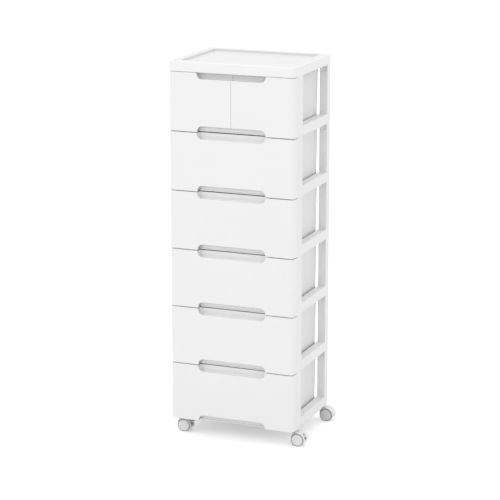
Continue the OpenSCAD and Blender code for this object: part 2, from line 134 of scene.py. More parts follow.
def colour(name, description, default):
    return FloatVectorProperty(name=name, description=description, default=default, size=3,
                               min=0, max=1, subtype="COLOR")


def share(name, description, default):
    return FloatProperty(name=name, description=description, default=default, min=0, max=1,
                         subtype="FACTOR")


def power(name, description, default):
    return FloatProperty(name=name, description=description, default=default, min=0, unit="POWER")


class TowerEdges(bpy.types.PropertyGroup):
    """Radii that the moulds leave on edges."""
    cover: length("Top cover", "Radius along both edges of the rim", 2.0 * MM, 0.1 * MM, 3 * MM)
    rim: length("Rim width", "Width of the rim round the tray", 28 * MM, 20 * MM, 36 * MM)
    tray: length("Tray floor", "Radius between the tray's walls and floor", 5.5 * MM, 1 * MM,
                 6.5 * MM)
    front: length("Drawer fronts", "Radius round fronts and handles", 0.9 * MM, 0.1 * MM, 1.2 * MM)
    side: length("Side frames", "Radius round posts, rails and windows", 0.45 * MM, 0.1 * MM,
                 0.48 * MM)
    under: length("Undersides", "Radius under the cover and on the base", 0.3 * MM, 0.1 * MM,
                  0.9 * MM)
    shelf: length("Shelves", "Radius on boards, bars and ribs", 0.45 * MM, 0.1 * MM, 0.8 * MM)
    tub: length("Tubs", "Radius along the rims and slots", 0.45 * MM, 0.1 * MM, 0.5 * MM)
    tub_floor: length("Tub floor", "Radius between a tub's walls and floor", 4.5 * MM, 1 * MM,
                      8 * MM)
    caster: length("Casters", "Radius on hoods, webs and levers", 0.45 * MM, 0.1 * MM, 0.6 * MM)


class TowerColours(bpy.types.PropertyGroup):
    """Colours of the plastics and the steel, with the shade and the highlight painted on the cover.
    """
    front: colour("Drawer fronts", "Satin white of the fronts", (0.88, 0.88, 0.88))
    cover: colour("Cover", "Satin white of the top cover", (0.89, 0.89, 0.89))
    frame: colour("Frame", "Satin white of side frames and shelves", (0.86, 0.86, 0.86))
    # painted shade: a darker colour laid on the tray's walls where shade falls
    recess: colour("Tray walls", "Shade that paint leaves on the tray's walls", (0.68, 0.68, 0.68))
    # painted highlight: a lighter colour laid along the outer radius of the rim
    lip: colour("Rim's edge", "Highlighted outer edge of the rim", (0.97, 0.97, 0.97))
    tub: colour("Tubs", "Milky white of the tubs", (0.80, 0.80, 0.80))
    caster: colour("Casters", "Light grey of the caster mouldings", (0.83, 0.83, 0.83))
    wheel: colour("Wheels", "Light grey of the wheel caps", (0.80, 0.80, 0.80))
    tread: colour("Treads", "Grey of the treads round the wheels", (0.40, 0.40, 0.40))
    steel: colour("Steel", "Zinc-plated steel", (0.60, 0.61, 0.63))
    floor: colour("Floor", "Plain floor under the tower", (0.90, 0.90, 0.90))


class TowerWheels(bpy.types.PropertyGroup):
    """Sizes of wheels and pins that the frame leaves open."""
    steps: count("Steps", "Faces round a wheel", 72, 24, 128)
    pin_steps: count("Pin steps", "Faces round a stem or an axle", 40, 24, 128)
    spokes: count("Spokes", "Ribs in the hollow back of a wheel", 8, 3, 16)
    spoke_t: length("Spoke thickness", "Thickness of one rib", 1.3 * MM, 0.8 * MM, 2 * MM)
    corner: length("Tread corner", "Radius between tread and face", 0.9 * MM, 0.3 * MM, 1.5 * MM)
    axle_corner: length("Axle ends", "Radius on the ends of an axle", 0.3 * MM, 0.1 * MM, 0.4 * MM)
    stem_corner: length("Stem edges", "Radius on the edges of a stem", 0.35 * MM, 0.1 * MM,
                        0.5 * MM)


class TowerMarks(bpy.types.PropertyGroup):
    """Marks that the mould leaves in the tubs."""
    pin_d: length("Pin diameter", "Diameter of an ejector pin's ring", 8 * MM, 4 * MM, 12 * MM)
    line: length("Line", "Half the width of a ring's line", 0.18 * MM, 0.05 * MM, 0.4 * MM)
    tub_floor_t: length("Floor thickness", "Thickness of a tub's floor", 2 * MM, 1 * MM, 3 * MM)
    rows: count("Rows", "Rings from front to back", 3, 1, 8)
    columns: count("Columns", "Rings across a full-width tub", 4, 1, 8)
    half_columns: count("Half columns", "Rings across a half-width tub", 2, 1, 8)


class TowerStage(bpy.types.PropertyGroup):
    """Camera and light."""
    lens: FloatProperty(name="Lens", description="Focal length", default=140.59, min=50, max=250,
                        subtype="DISTANCE_CAMERA")
    turn: FloatProperty(name="Turn", description="How far the camera stands round to the right",
                        default=math.radians(21.888), subtype="ANGLE")
    tilt: FloatProperty(name="Tilt", description="How far the camera looks down",
                        default=math.radians(13.883), subtype="ANGLE")
    sky: share("Sky", "Light from all round", 0.90)
    key: power("Key lamp", "Power of the large soft lamp", 35)
    side: power("Side lamp", "Power of the lamp at the right", 14)
    top: power("Top lamp", "Power of the lamp over the front edge", 4)
    lift: share("Floor lift", "How far the floor is lifted towards white for the camera", 0.36)


class TowerSettings(bpy.types.PropertyGroup):
    """All settings of the tower."""
    edges: PointerProperty(type=TowerEdges)
    colours: PointerProperty(type=TowerColours)
    wheels: PointerProperty(type=TowerWheels)
    marks: PointerProperty(type=TowerMarks)
    stage: PointerProperty(type=TowerStage)


def settings():
    return bpy.context.scene.drawer_tower


# ---------- shader groups and materials ----------

def group_tree(name, kind, inputs, outputs):
    """An empty node group with named sockets; an input is (name, socket type, default)."""
    tree = bpy.data.node_groups.new(name, kind)
    for label, socket, default in inputs:
        made = tree.interface.new_socket(label, in_out="INPUT", socket_type=socket)
        if default is not None:
            made.default_value = default
    for label, socket in outputs:
        tree.interface.new_socket(label, in_out="OUTPUT", socket_type=socket)
    return tree, tree.nodes.new("NodeGroupInput"), tree.nodes.new("NodeGroupOutput")


def node(tree, kind, links=(), **values):
    """A node with its properties or sockets set, and its inputs linked as (input, source)."""
    made = tree.nodes.new(kind)
    for key, value in values.items():
        if hasattr(made, key):
            setattr(made, key, value)
        else:
            made.inputs[key.replace("_", " ")].default_value = value
    for target, source in links:
        tree.links.new(made.inputs[target], source)
    return made


def skin_group():
    """Moulded skin: soft clouds in the colour, and the fine grain that a mould leaves."""
    if "Moulded Skin" in bpy.data.node_groups:
        return bpy.data.node_groups["Moulded Skin"]
    tree, inside, outside = group_tree(
        "Moulded Skin", "ShaderNodeTree",
        [("Colour", "NodeSocketColor", None), ("Shade", "NodeSocketColor", None),
         ("Cloud Scale", "NodeSocketFloat", 9.0), ("Grain Scale", "NodeSocketFloat", 900.0),
         ("Orange Peel", "NodeSocketFloat", 0.3)],
        [("Colour", "NodeSocketColor"), ("Sheen Mask", "NodeSocketFloat"),
         ("Height", "NodeSocketFloat")])
    place = node(tree, "ShaderNodeTexCoord").outputs["Object"]
    cloud = node(tree, "ShaderNodeTexNoise",
                 [("Vector", place), ("Scale", inside.outputs["Cloud Scale"])],
                 Detail=3.0, Roughness=0.55)
    grain = node(tree, "ShaderNodeTexNoise",
                 [("Vector", place), ("Scale", inside.outputs["Grain Scale"])],
                 Detail=2.0, Roughness=0.6)
    wave = node(tree, "ShaderNodeMath", [(0, inside.outputs["Grain Scale"])], operation="MULTIPLY")
    wave.inputs[1].default_value = PEEL_SCALE
    peel = node(tree, "ShaderNodeTexNoise", [("Vector", place), ("Scale", wave.outputs[0])],
                Detail=1.0)
    mixed = node(tree, "ShaderNodeMix",
                 [(6, inside.outputs["Colour"]), (7, inside.outputs["Shade"]),
                  (0, cloud.outputs["Fac"])], data_type="RGBA")
    height = node(tree, "ShaderNodeMix",
                  [(0, inside.outputs["Orange Peel"]), (2, grain.outputs["Fac"]),
                   (3, peel.outputs["Fac"])], data_type="FLOAT")
    tree.links.new(outside.inputs["Colour"], mixed.outputs[2])
    tree.links.new(outside.inputs["Sheen Mask"], cloud.outputs["Fac"])
    tree.links.new(outside.inputs["Height"], height.outputs[0])
    return tree


def new_material(name):
    material = bpy.data.materials.new(name)
    material.use_nodes = True
    return material, material.node_tree


def moulded(name, base, shade=0.965, rough=(0.34, 0.42), cloud=9.0, grain=900.0, peel=0.3,
            depth=0.02 * MM, masked=()):
    """Plastic as it comes out of a mould: nearly even colour, satin, with a faint grain.

    masked lists attributes of the piece, each with the colour to lay where it is 1.
    """
    if name in bpy.data.materials:
        return bpy.data.materials[name]
    material, tree = new_material(name)
    shader = tree.nodes["Principled BSDF"]
    shader.inputs["IOR"].default_value = PLASTIC_IOR
    skin = node(tree, "ShaderNodeGroup", node_tree=skin_group())
    skin.inputs["Colour"].default_value = (*base, 1)
    skin.inputs["Shade"].default_value = (*(c * shade for c in base), 1)
    skin.inputs["Cloud Scale"].default_value = cloud
    skin.inputs["Grain Scale"].default_value = grain
    skin.inputs["Orange Peel"].default_value = peel
    gloss = node(tree, "ShaderNodeMapRange", [("Value", skin.outputs["Sheen Mask"])],
                 From_Min=NOISE_RANGE[0], From_Max=NOISE_RANGE[1], To_Min=rough[0], To_Max=rough[1])
    bump = node(tree, "ShaderNodeBump", [("Height", skin.outputs["Height"])],
                Strength=0.35, Distance=depth)
    tone = skin.outputs["Colour"]
    for attribute, laid in masked:
        mask = node(tree, "ShaderNodeAttribute", attribute_name=attribute).outputs["Fac"]
        mixed = node(tree, "ShaderNodeMix", [(0, mask), (6, tone)], data_type="RGBA")
        mixed.inputs[7].default_value = (*laid, 1)
        tone = mixed.outputs[2]
    tree.links.new(shader.inputs["Base Color"], tone)
    tree.links.new(shader.inputs["Roughness"], gloss.outputs["Result"])
    tree.links.new(shader.inputs["Normal"], bump.outputs["Normal"])
    return material


def plated_steel():
    """Zinc-plated steel with turning marks round its length."""
    name = "Zinc-plated steel"
    if name in bpy.data.materials:
        return bpy.data.materials[name]
    material, tree = new_material(name)
    shader = tree.nodes["Principled BSDF"]
    shader.inputs["Metallic"].default_value = 1.0
    base = settings().colours.steel
    place = node(tree, "ShaderNodeTexCoord").outputs["Object"]
    lines = node(tree, "ShaderNodeTexNoise", [("Vector", place)], Scale=2500.0, Detail=2.0)
    cloud = node(tree, "ShaderNodeTexNoise", [("Vector", place)], Scale=220.0, Detail=3.0)
    tone = node(tree, "ShaderNodeMix", [(0, cloud.outputs["Fac"])], data_type="RGBA")
    tone.inputs[6].default_value = (*base, 1)
    tone.inputs[7].default_value = (*(c * TONES for c in base), 1)
    rough = node(tree, "ShaderNodeMapRange", [("Value", lines.outputs["Fac"])],
                 From_Min=NOISE_RANGE[0], From_Max=NOISE_RANGE[1], To_Min=0.26, To_Max=0.42)
    bump = node(tree, "ShaderNodeBump", [("Height", lines.outputs["Fac"])],
                Strength=0.3, Distance=0.01 * MM)
    tree.links.new(shader.inputs["Base Color"], tone.outputs[2])
    tree.links.new(shader.inputs["Roughness"], rough.outputs["Result"])
    tree.links.new(shader.inputs["Normal"], bump.outputs["Normal"])
    return material


def finish_of(kind):
    """The material of one kind of piece."""
    c = settings().colours
    if kind == "front":
        return moulded("Satin white front", c.front, rough=(0.30, 0.36), cloud=5.0,
                       depth=0.012 * MM)
    if kind == "frame":
        return moulded("Satin white frame", c.frame, rough=(0.36, 0.44), cloud=7.0)
    if kind == "cover":
        return moulded("Satin white cover", c.cover, rough=(0.36, 0.44), cloud=7.0,
                       # the cover's colour carries painted shade on the tray walls and a painted
                       # highlight along the rim's outer edge
                       masked=(("recess", c.recess), ("lip", c.lip)))
    if kind == "tub":
        return moulded("Milky tub", c.tub, shade=0.95, rough=(0.32, 0.40), cloud=11.0,
                       peel=0.6)
    if kind == "caster":
        return moulded("Caster nylon", c.caster, shade=0.94, rough=(0.38, 0.46), cloud=40.0,
                       grain=1400.0)
    if kind == "wheel":
        return moulded("Wheel nylon", c.wheel, shade=0.94, rough=(0.36, 0.48), cloud=50.0,
                       grain=1600.0, masked=(("tread", c.tread),))
    return plated_steel()


# ---------- meshes ----------

def new_object(name, data):
    """Puts a mesh, lamp or camera into the scene."""
    made = bpy.data.objects.new(name, data)
    bpy.context.scene.collection.objects.link(made)
    return made


def set_plain(piece):
    """Turns a piece and its modifiers into one plain mesh."""
    bpy.context.view_layer.update()
    shape = piece.evaluated_get(bpy.context.evaluated_depsgraph_get())
    mesh = bpy.data.meshes.new_from_object(shape, preserve_all_data_layers=True,
                                           depsgraph=bpy.context.evaluated_depsgraph_get())
    piece.modifiers.clear()
    piece.data = mesh
    return piece


def make_flat_faces_whole(shape):
    bmesh.ops.dissolve_limit(shape, angle_limit=FLAT, verts=shape.verts, edges=shape.edges,
                             use_dissolve_boundaries=False)


def merged_copy(node_name):
    """A merged copy of a solid of the frame, with its flat faces whole again."""
    shape = bmesh.new()
    shape.from_mesh(NODES[node_name].data)
    bmesh.ops.remove_doubles(shape, verts=shape.verts, dist=MERGE)
    make_flat_faces_whole(shape)
    return shape


def rounded_piece(name, shape, radius, segments=2):
    """Gives every sharp edge its radius, and keeps flat faces flat in the shading."""
    mesh = bpy.data.meshes.new(name)
    shape.to_mesh(mesh)
    shape.free()
    mesh.shade_smooth()
    piece = new_object(name, mesh)
    edge = piece.modifiers.new("Edges", "BEVEL")
    edge.width = radius
    edge.segments = segments
    edge.limit_method = "ANGLE"
    edge.angle_limit = SHARP
    edge.use_clamp_overlap = False
    piece.modifiers.new("Flat faces", "WEIGHTED_NORMAL").weight = FACE_WEIGHT
    return set_plain(piece)


def stand_for(piece, node_name, material):
    """Gives the piece its finish and puts it in the place of a node of the frame."""
    piece.data.materials.clear()
    piece.data.materials.append(material)
    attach(piece, NODES[node_name]["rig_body"])
    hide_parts(node_name)


def cut_hollow_faces(shape):
    """Cuts faces with hollow corners into ones without, which stay true when edges are rounded."""
    bmesh.ops.connect_verts_concave(shape, faces=[f for f in shape.faces if len(f.verts) > 4])


def mouldings(prefixes, radius, kind, segments=2, shaped=None, cut=True):
    """Rounds every solid whose name starts with one of the prefixes.

    shaped is a function that changes the copy before its edges are rounded; cut says whether
    faces with hollow corners are cut after it, which wide faces need and narrow ones don't.
    """
    material = finish_of(kind)
    for name in sorted(NODES):
        if name.startswith(prefixes):
            shape = merged_copy(name)
            if shaped:
                shaped(name, shape)
            if cut:
                cut_hollow_faces(shape)
            stand_for(rounded_piece(name + ".moulded", shape, radius, segments), name, material)


def round_level_edges(shape, height, radius, segments=4):
    """Rounds every sharp edge of a mesh that lies level at one height."""
    edges = [e for e in shape.edges
             if all(abs(v.co.z - height) < LEVEL for v in e.verts)
             and len(e.link_faces) == 2 and e.calc_face_angle() > SHARP]
    bmesh.ops.bevel(shape, geom=edges, offset=radius, segments=segments, profile=0.5,
                    affect="EDGES", clamp_overlap=False)


def round_tub_floor(name, shape):
    """Rounds the edges where a tub's walls meet its floor, outside and inside."""
    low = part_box(name)[0].z
    wall = settings().marks.tub_floor_t
    radius = settings().edges.tub_floor
    round_level_edges(shape, low, radius)
    round_level_edges(shape, low + wall, radius - wall)


def take_off_rib_tips(name, shape):
    """Takes off the rib tips that stand out of a rear post's round corner, and closes the wall."""
    low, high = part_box(name)
    outer = max(abs(low.x), abs(high.x)) - RIB_TIP
    back = high.y - RIB_TIP
    tips = [v for v in shape.verts
            if abs(abs(v.co.x) - outer) < NEAR and abs(v.co.y - back) < NEAR]
    bmesh.ops.delete(shape, geom=tips, context="VERTS")
    levels = {}
    for v in shape.verts:
        if v.is_boundary:
            levels.setdefault(round(v.co.z / MM, 2), []).append(v)
    heights = sorted(levels)
    for below, above in zip(heights[::2], heights[1::2]):
        lower, upper = (sorted(levels[height], key=lambda v: v.co.y) for height in (below, above))
        for corners in zip(lower, lower[1:], upper[1:], upper):
            shape.faces.new(corners)
    bmesh.ops.recalc_face_normals(shape, faces=shape.faces)
    make_flat_faces_whole(shape)


def square_split_edge(name, shape):
    """Squares a half front's upright edge beside the split, to be rounded with the others."""
    low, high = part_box(name)
    split = min(low.x, high.x, key=abs)
    for v in shape.verts:
        if abs(v.co.x - split) < SPLIT_CORNER and v.co.y < low.y + SPLIT_CORNER:
            v.co.x, v.co.y = split, low.y
    bmesh.ops.remove_doubles(shape, verts=shape.verts, dist=MERGE)
    make_flat_faces_whole(shape)


def round_cover(name, shape):
    """Rounds the cover's rim and tray floor's edge; marks the painted wall shade and rim highlight.
    """
    edges = settings().edges
    low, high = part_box(name)
    floor = next(m["pos_m"][2] for m in frame["record"]["mounts"] if m["name"] == "top_tray")
    round_level_edges(shape, high.z, edges.cover)
    round_level_edges(shape, floor, edges.tray, segments=6)
    recess = shape.verts.layers.float.new("recess")
    lip = shape.verts.layers.float.new("lip")
    shape.normal_update()
    for v in shape.verts:
        x, y, z = v.co
        faces_out = v.normal.x * x + v.normal.y * y > 0
        # painted shade: the tray walls inside the rim get the darker colour, fading in above the
        # floor and out under the rim's edge
        if min(x - low.x, high.x - x, y - low.y, high.y - y) > edges.rim - edges.cover:
            v[recess] = max(0, min(1, (z - floor) / RECESS_FADE,
                                   (high.z - z) / (RIM_FADE * edges.cover)))
        # painted highlight on the rim's outer radius, where it faces out and up
        elif z > high.z - edges.cover and faces_out and RIM_HIGHLIGHT_TILT[0] < v.normal.z < RIM_HIGHLIGHT_TILT[1]:
            v[lip] = 1


# ---------- turned pieces ----------

def turned_tree():
    """Geometry nodes that turn a half section about the Z axis."""
    name = "Turned Piece"
    if name in bpy.data.node_groups:
        return bpy.data.node_groups[name]
    tree, inside, outside = group_tree(
        name, "GeometryNodeTree",
        [("Half Section", "NodeSocketObject", None), ("Reach", "NodeSocketFloat", REACH),
         ("Steps", "NodeSocketInt", 72), ("Ribs", "NodeSocketInt", 0),
         ("Rib Inner Radius", "NodeSocketFloat", 5 * MM),
         ("Rib Outer Radius", "NodeSocketFloat", 17 * MM),
         ("Rib Low", "NodeSocketFloat", 0.0), ("Rib High", "NodeSocketFloat", 10 * MM),
         ("Rib Thickness", "NodeSocketFloat", 1.3 * MM), ("Tread From", "NodeSocketFloat", 1.0),
         ("Material", "NodeSocketMaterial", None)],
        [("Geometry", "NodeSocketGeometry")])
    section = node(tree, "GeometryNodeObjectInfo", [("Object", inside.outputs["Half Section"])])
    line = node(tree, "GeometryNodeMeshToCurve", [("Mesh", section.outputs["Geometry"])])
    path = node(tree, "GeometryNodeCurvePrimitiveCircle",
                [("Resolution", inside.outputs["Steps"]), ("Radius", inside.outputs["Reach"])])
    skin = node(tree, "GeometryNodeCurveToMesh",
                [("Curve", path.outputs["Curve"]), ("Profile Curve", line.outputs["Curve"])])
    whole = node(tree, "GeometryNodeMergeByDistance", [("Geometry", skin.outputs["Mesh"])],
                 Distance=SEAM)

    def difference(a, b):
        made = node(tree, "ShaderNodeMath", [(0, inside.outputs[a]), (1, inside.outputs[b])],
                    operation="SUBTRACT")
        return made.outputs[0]

    def middle(a, b):
        total = node(tree, "ShaderNodeMath", [(0, inside.outputs[a]), (1, inside.outputs[b])],
                     operation="ADD")
        half = node(tree, "ShaderNodeMath", [(0, total.outputs[0])], operation="MULTIPLY")
        half.inputs[1].default_value = 0.5
        return half.outputs[0]

    size = node(tree, "ShaderNodeCombineXYZ",
                [("X", difference("Rib Outer Radius", "Rib Inner Radius")),
                 ("Y", inside.outputs["Rib Thickness"]), ("Z", difference("Rib High", "Rib Low"))])
    centre = node(tree, "ShaderNodeCombineXYZ",
                  [("X", middle("Rib Outer Radius", "Rib Inner Radius")),
                   ("Z", middle("Rib High", "Rib Low"))])
    rib = node(tree, "GeometryNodeMeshCube", [("Size", size.outputs[0])])
    placed = node(tree, "GeometryNodeTransform",
                  [("Geometry", rib.outputs["Mesh"]), ("Translation", centre.outputs[0])])
    hub = node(tree, "GeometryNodePoints", [("Count", inside.outputs["Ribs"])])
    number = node(tree, "GeometryNodeInputIndex").outputs[0]
    turn = node(tree, "ShaderNodeMath", [(0, number)], operation="MULTIPLY")
    step = node(tree, "ShaderNodeMath", [(1, inside.outputs["Ribs"])], operation="DIVIDE")
    step.inputs[0].default_value = math.tau
    tree.links.new(turn.inputs[1], step.outputs[0])
    about = node(tree, "ShaderNodeCombineXYZ", [("Z", turn.outputs[0])])
    ring = node(tree, "GeometryNodeInstanceOnPoints",
                [("Points", hub.outputs[0]), ("Instance", placed.outputs[0]),
                 ("Rotation", about.outputs[0])])
    both = node(tree, "GeometryNodeJoinGeometry", [("Geometry", ring.outputs[0])])
    tree.links.new(both.inputs[0], whole.outputs["Geometry"])
    real = node(tree, "GeometryNodeRealizeInstances", [("Geometry", both.outputs[0])])
    place = node(tree, "GeometryNodeInputPosition").outputs[0]
    flat = node(tree, "ShaderNodeVectorMath", [(0, place)], operation="MULTIPLY")
    flat.inputs[1].default_value = (1, 1, 0)
    away = node(tree, "ShaderNodeVectorMath", [(0, flat.outputs[0])], operation="LENGTH")
    outer = node(tree, "FunctionNodeCompare",
                 [("A", away.outputs["Value"]), ("B", inside.outputs["Tread From"])],
                 operation="GREATER_THAN")
    marked = node(tree, "GeometryNodeStoreNamedAttribute",
                  [("Geometry", real.outputs[0]), ("Value", outer.outputs["Result"])],
                  data_type="FLOAT", domain="FACE", Name="tread")
    finish = node(tree, "GeometryNodeSetMaterial",
                  [("Geometry", marked.outputs[0]), ("Material", inside.outputs["Material"])])
    tree.links.new(outside.inputs[0], finish.outputs[0])
    return tree


def softened(points, radius, steps=4):
    """A line of (r, z) points whose corners are rounded as far as their sides allow."""
    line = [Vector(p) for p in points]
    made = [line[0]]
    for before, corner, after in zip(line, line[1:], line[2:]):
        a, b = before - corner, after - corner
        turn = math.pi - a.angle(b)
        cut = min(radius * math.tan(turn / 2), a.length * SIDE_SHARE, b.length * SIDE_SHARE)
        if turn < BLUNT or cut < LEAST_CUT:
            made.append(corner)
            continue
        start, end = corner + a.normalized() * cut, corner + b.normalized() * cut
        for i in range(steps + 1):
            t = i / steps
            made.append(start * (1 - t) ** 2 + corner * 2 * t * (1 - t) + end * t ** 2)
    return made + [line[-1]]


def grown_piece(name, tree, values):
    """Runs a node tree with the given inputs and keeps its result as one plain mesh."""
    piece = new_object(name, bpy.data.meshes.new(name))
    nodes = piece.modifiers.new(tree.name, "NODES")
    nodes.node_group = tree
    for socket in tree.interface.items_tree:
        if socket.in_out == "INPUT" and socket.name in values:
            nodes[socket.identifier] = values[socket.name]
    return set_plain(piece)


def turned_piece(name, points, place, material, **inputs):
    """Turns a half section of (r, z) points about the Z axis and sets it in place."""
    section = bpy.data.meshes.new("half section")
    section.from_pydata([(p.x - REACH, -p.y, 0) for p in points],
                        [(i, i + 1) for i in range(len(points) - 1)], [])
    holder = new_object("half section", section)
    piece = grown_piece(name, turned_tree(), {
        "Half Section": holder, "Reach": REACH, "Material": material, **inputs})
    bpy.data.objects.remove(holder)
    shape = bmesh.new()
    shape.from_mesh(piece.data)
    bmesh.ops.remove_doubles(shape, verts=shape.verts, dist=SEAM)
    bmesh.ops.recalc_face_normals(shape, faces=shape.faces)
    shape.to_mesh(piece.data)
    shape.free()
    piece.data.transform(place)
    piece.data.shade_smooth()
    piece.data.set_sharp_from_angle(angle=SHARP)
    return piece


def wheel_section(radius, width):
    """Half section of a wheel from the middle of its face to the middle of its back.

    Returns the section, the radius of its cap, and the height at which its hollow back starts.
    """
    cap_r, hollow, crown = radius - 2.8 * MM, 2.4 * MM, 0.6 * MM
    groove_r, band_r = cap_r + 0.7 * MM, cap_r + 1.7 * MM
    hub_r, bore_r, hub_end = 5 * MM, 2.55 * MM, width - 0.2 * MM
    cap = [(0, 0), (8.6 * MM, 0.1 * MM), (12.9 * MM, 0.4 * MM), (cap_r, 1.0 * MM)]
    groove = [(cap_r, 1.7 * MM), (groove_r, 1.7 * MM), (groove_r, 0.8 * MM)]
    tread = [(band_r, 0.8 * MM), (radius, 1.6 * MM), (radius, width - crown),
             (radius - crown, width)]
    back = [(cap_r, width), (cap_r - 0.4 * MM, hollow + MM), (hub_r, hollow + 0.6 * MM)]
    hub = [(hub_r, hub_end), (bore_r, hub_end), (bore_r, hollow), (0, hollow)]
    return cap + groove + tread + back + hub, cap_r, hollow


def axle_section(radius, end):
    """Half section of an axle with bevelled ends."""
    bevel = 0.4 * MM
    return [(0, 0), (radius - bevel, 0), (radius, bevel), (radius, end - bevel),
            (radius - bevel, end), (0, end)]


def stem_section(low, high, collar_r):
    """Half section of a stem between two heights, with a groove for its ring and a collar."""
    r = collar_r - 2.6 * MM
    foot_r, groove_r, bevel = r - 0.6 * MM, r - 0.7 * MM, 1.2 * MM
    foot, groove, groove_end, collar, collar_end = (low + h * MM for h in (0.6, 10, 11.6, 17.9, 20))
    return [(0, low), (foot_r, low), (r, foot), (r, groove), (groove_r, groove),
            (groove_r, groove_end), (r, groove_end), (r, collar), (collar_r, collar),
            (collar_r, collar_end), (r, collar_end), (r, high - bevel), (r - bevel, high),
            (0, high)]


def along_y(centre, side=1):
    """Places a piece turned about Z so that its axis lies along Y; side 1 sends +Z to +Y."""
    return Matrix.Translation(centre) @ Matrix.Rotation(-side * math.pi / 2, 4, "X")


def marks_tree():
    """Geometry nodes that lay the rings left by ejector pins in rows and columns."""
    name = "Ejector Marks"
    if name in bpy.data.node_groups:
        return bpy.data.node_groups[name]
    tree, inside, outside = group_tree(
        name, "GeometryNodeTree",
        [("Columns", "NodeSocketInt", 4), ("Rows", "NodeSocketInt", 3),
         ("Width", "NodeSocketFloat", 240 * MM), ("Depth", "NodeSocketFloat", 160 * MM),
         ("Ring Radius", "NodeSocketFloat", 4 * MM), ("Line Radius", "NodeSocketFloat", 0.2 * MM),
         ("Material", "NodeSocketMaterial", None)],
        [("Geometry", "NodeSocketGeometry")])
    places = node(tree, "GeometryNodeMeshGrid",
                  [("Size X", inside.outputs["Width"]), ("Size Y", inside.outputs["Depth"]),
                   ("Vertices X", inside.outputs["Columns"]),
                   ("Vertices Y", inside.outputs["Rows"])])
    ring = node(tree, "GeometryNodeCurvePrimitiveCircle",
                [("Radius", inside.outputs["Ring Radius"])], Resolution=24)
    line = node(tree, "GeometryNodeCurvePrimitiveCircle",
                [("Radius", inside.outputs["Line Radius"])], Resolution=6)
    mark = node(tree, "GeometryNodeCurveToMesh",
                [("Curve", ring.outputs["Curve"]), ("Profile Curve", line.outputs["Curve"])])
    laid = node(tree, "GeometryNodeInstanceOnPoints",
                [("Points", places.outputs["Mesh"]), ("Instance", mark.outputs["Mesh"])])
    real = node(tree, "GeometryNodeRealizeInstances", [("Geometry", laid.outputs[0])])
    finish = node(tree, "GeometryNodeSetMaterial",
                  [("Geometry", real.outputs[0]), ("Material", inside.outputs["Material"])])
    tree.links.new(outside.inputs[0], finish.outputs[0])
    return tree


# ---------- operators ----------

class TOWER_OT_frame(bpy.types.Operator):
    """Side frames, shelves, base frame and the guide between the top drawers"""
    bl_idname = "tower.frame"
    bl_label = "Frame"

    def execute(self, context):
        edges = settings().edges
        mouldings(("side_frame_",), edges.side, "frame", shaped=take_off_rib_tips, cut=False)
        mouldings(("shelf_", "centre_guide"), edges.shelf, "frame", cut=False)
        mouldings(("base_frame",), edges.under, "frame")
        return {"FINISHED"}


class TOWER_OT_cover(bpy.types.Operator):
    """Top cover with its rim and tray"""
    bl_idname = "tower.cover"
    bl_label = "Top cover"

    def execute(self, context):
        mouldings(("top_cover",), settings().edges.under, "cover", shaped=round_cover)
        return {"FINISHED"}


class TOWER_OT_fronts(bpy.types.Operator):
    """Drawer fronts with their handles"""
    bl_idname = "tower.fronts"
    bl_label = "Drawer fronts"

    def execute(self, context):
        radius = settings().edges.front
        full = tuple(name for name in NODES
                     if name.startswith("drawer_front_") and "top" not in name)
        mouldings(full, radius, "front", segments=3)
        mouldings(("drawer_front_top_",), radius, "front", segments=3,
                  shaped=square_split_edge, cut=False)
        return {"FINISHED"}


class TOWER_OT_tubs(bpy.types.Operator):
    """Drawer tubs"""
    bl_idname = "tower.tubs"
    bl_label = "Drawer tubs"

    def execute(self, context):
        mouldings(("drawer_tub_",), settings().edges.tub, "tub", shaped=round_tub_floor)
        return {"FINISHED"}


class TOWER_OT_marks(bpy.types.Operator):
    """Rings that the ejector pins leave on the tub floors"""
    bl_idname = "tower.marks"
    bl_label = "Ejector marks"

    def execute(self, context):
        marks = settings().marks
        material = finish_of("tub")
        for name in sorted(NODES):
            if not name.startswith("drawer_tub_"):
                continue
            low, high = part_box(name)
            middle = (low + high) / 2
            floor = low.z + marks.tub_floor_t
            piece = grown_piece(name + ".marks", marks_tree(), {
                "Columns": marks.half_columns if "top" in name else marks.columns,
                "Rows": marks.rows, "Width": (high.x - low.x) * MARK_SPREAD,
                "Depth": (high.y - low.y) * MARK_SPREAD, "Ring Radius": marks.pin_d / 2,
                "Line Radius": marks.line, "Material": material})
            piece.data.transform(Matrix.Translation((middle.x, middle.y, floor)))
            piece.data.shade_smooth()
            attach(piece, NODES[name]["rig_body"])
        return {"FINISHED"}


class TOWER_OT_casters(bpy.types.Operator):
    """Caster housings and brake levers"""
    bl_idname = "tower.casters"
    bl_label = "Casters"

    def execute(self, context):
        mouldings(("caster_housing_", "brake_lever_"), settings().edges.caster, "caster", cut=False)
        return {"FINISHED"}


class TOWER_OT_wheels(bpy.types.Operator):
    """Wheels, two to a caster"""
    bl_idname = "tower.wheels"
    bl_label = "Wheels"

    def execute(self, context):
        w = settings().wheels
        material = finish_of("wheel")
        for position in POSITIONS:
            for letter, side in (("a", 1), ("b", -1)):
                name = f"caster_wheel_{position}_{letter}"
                low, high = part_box(name)
                middle, radius, width = (low + high) / 2, (high.z - low.z) / 2, high.y - low.y
                points, cap_r, hollow = wheel_section(radius, width)
                face = Vector((middle.x, low.y if side > 0 else high.y, middle.z))
                piece = turned_piece(
                    name + ".turned", softened(points, w.corner), along_y(face, side), material,
                    **{"Steps": w.steps, "Ribs": w.spokes, "Rib Thickness": w.spoke_t,
                       "Rib Inner Radius": 4.6 * MM, "Rib Outer Radius": cap_r - 0.1 * MM,
                       "Rib Low": hollow, "Rib High": width - 1.6 * MM,
                       "Tread From": cap_r + 0.3 * MM})
                stand_for(piece, name, material)
        return {"FINISHED"}


